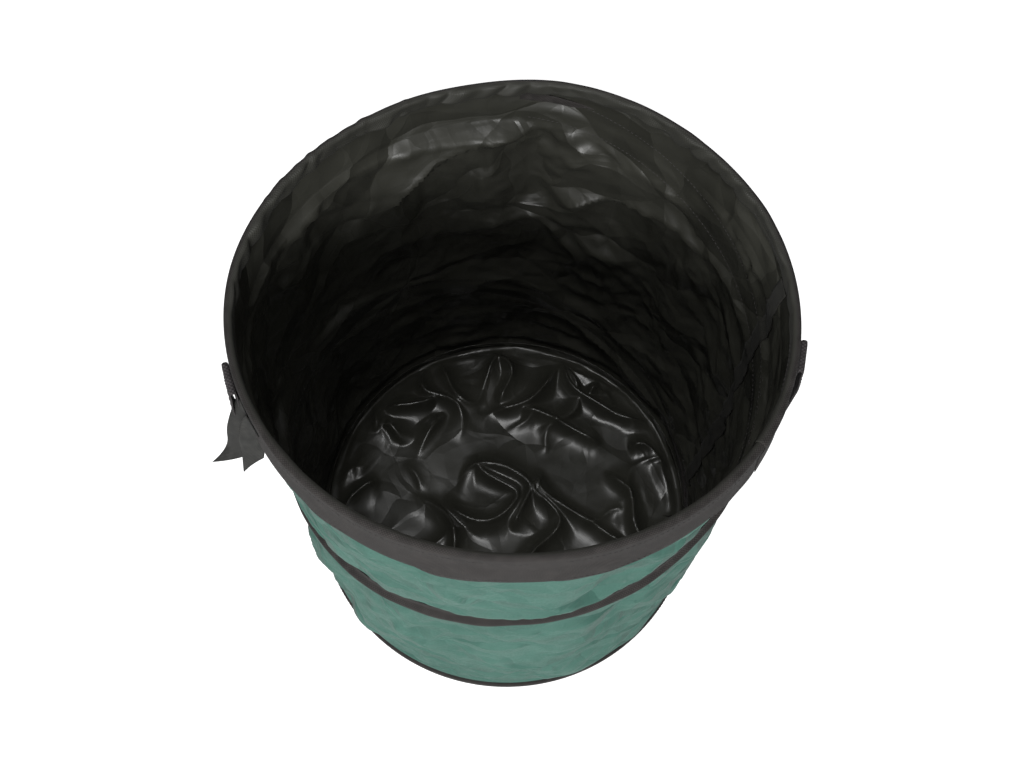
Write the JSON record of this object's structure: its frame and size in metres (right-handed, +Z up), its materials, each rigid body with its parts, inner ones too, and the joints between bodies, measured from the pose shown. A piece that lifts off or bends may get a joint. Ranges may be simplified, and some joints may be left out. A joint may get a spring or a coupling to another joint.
{
  "type": "pop up leaf bag",
  "caption": "Open-topped fabric drum held up by a spiral spring wire in a tape sleeve, with taped rim and base, two webbing handles and closure ties; it pushes down flat.",
  "frame": {"origin": "centre of the base, on the ground", "axes": "+Z up through the mouth, +X towards the right-hand handle's side, -Y towards the front"},
  "size_m": [0.5017, 0.4654, 0.483],
  "materials": {
    "green_fabric": "matte woven polyester outside, shiny black coating inside",
    "black_fabric": "shiny black coated cloth",
    "tape": "matte woven tape",
    "webbing": "matte woven webbing",
    "ribbon": "soft woven ribbon",
    "spring_steel": "bare drawn spring wire",
    "cap_plastic": "moulded black plastic"
  },
  "bodies": {
    "base": {"floor_panel": "black_fabric", "base_binding": "tape", "wall_panel": "green_fabric", "side_seam_tape": "tape", "spring_wire": "spring_steel", "base_wire_cap": "cap_plastic", "spiral_sleeve": "tape"},
    "rim": {"rim_binding": "tape", "rim_wire_cap": "cap_plastic"},
    "handle_right": {"handle_right": "webbing"},
    "handle_left": {"handle_left": "webbing"},
    "tie_tail_outer": {"tie_tail_outer": "ribbon"},
    "tie_tail_inner": {"tie_tail_inner": "ribbon"}
  },
  "joints": [
    {"name": "collapse", "type": "slide", "parent": "base", "child": "rim", "axis": [0, 0, -1], "range_m": [0, 0.405], "stiffness_N_per_m": 60, "springref_m": -0.1, "deforming": ["wall_panel", "side_seam_tape", "spring_wire", "spiral_sleeve"]},
    {"name": "handle_right_swing", "type": "hinge", "parent": "rim", "child": "handle_right", "pos_m": [0.22787, -0.05052, 0.474], "axis": [-0.2164, -0.9763, 0], "range_deg": [0, 165]},
    {"name": "handle_left_swing", "type": "hinge", "parent": "rim", "child": "handle_left", "pos_m": [-0.22134, -0.07406, 0.474], "axis": [-0.3173, 0.9483, 0], "range_deg": [0, 165]},
    {"name": "tie_tail_outer_swing", "type": "hinge", "parent": "rim", "child": "tie_tail_outer", "pos_m": [-0.2091, -0.09795, 0.464], "axis": [-0.4242, 0.9056, 0], "range_deg": [-20, 95]},
    {"name": "tie_tail_inner_swing", "type": "hinge", "parent": "rim", "child": "tie_tail_inner", "pos_m": [-0.19936, -0.1165, 0.464], "axis": [-0.5045, 0.8634, 0], "range_deg": [-9, 110]}
  ]
}
